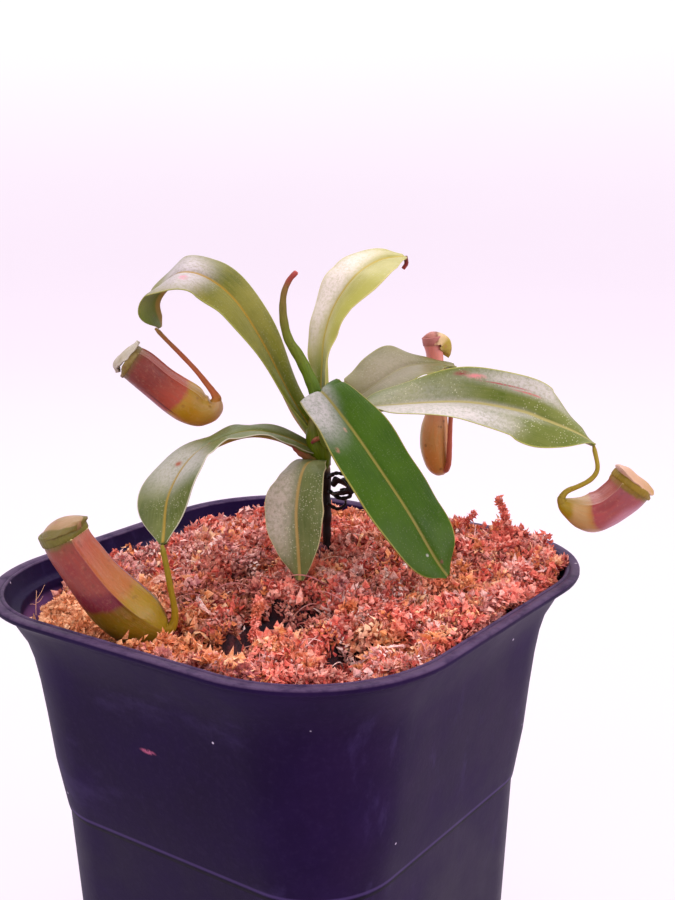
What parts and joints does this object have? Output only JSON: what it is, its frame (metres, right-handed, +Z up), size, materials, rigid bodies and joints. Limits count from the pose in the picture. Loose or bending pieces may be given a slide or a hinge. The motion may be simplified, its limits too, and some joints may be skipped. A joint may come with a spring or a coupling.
{
  "type": "potted pitcher plant",
  "caption": "Young tropical pitcher plant with strap leaves and hanging pitchers on tendrils, in a square tapering nursery pot of dried moss.",
  "frame": {"origin": "centre of the pot's flat base", "axes": "+Z up along the pot's axis; X and Y along the pot's sides, the picture looks from between -Y and +X"},
  "size_m": [0.1089, 0.1029, 0.157],
  "materials": {
    "pot": "moulded, fine matt grain",
    "moss": "dry, fibrous, matt",
    "dead": "dry and black",
    "stem": "smooth, satin",
    "leaf": "smooth, satin to glossy",
    "young_leaf": "smooth, satin",
    "tendril": "smooth, satin",
    "pitcher": "smooth, satin",
    "lid": "smooth, satin"
  },
  "bodies": {
    "root": {"pot": "pot", "moss_bed": "moss", "dead_stem": "dead", "green_stem": "stem", "dead_leaf": "dead", "leaf_1": "leaf", "leaf_2": "leaf", "leaf_3": "leaf", "leaf_4": "leaf", "leaf_5": "leaf", "leaf_6": "leaf", "leaf_7": "young_leaf", "spear": "young_leaf", "tendril_1": "tendril", "tendril_2": "tendril", "tendril_3": "tendril", "tendril_4": "tendril", "tendril_7": "tendril", "pitcher_1": "pitcher", "lid_1": "lid", "pitcher_2": "pitcher", "lid_2": "lid", "pitcher_3": "pitcher", "lid_3": "lid", "pitcher_4": "pitcher", "lid_4": "lid"}
  },
  "joints": []
}
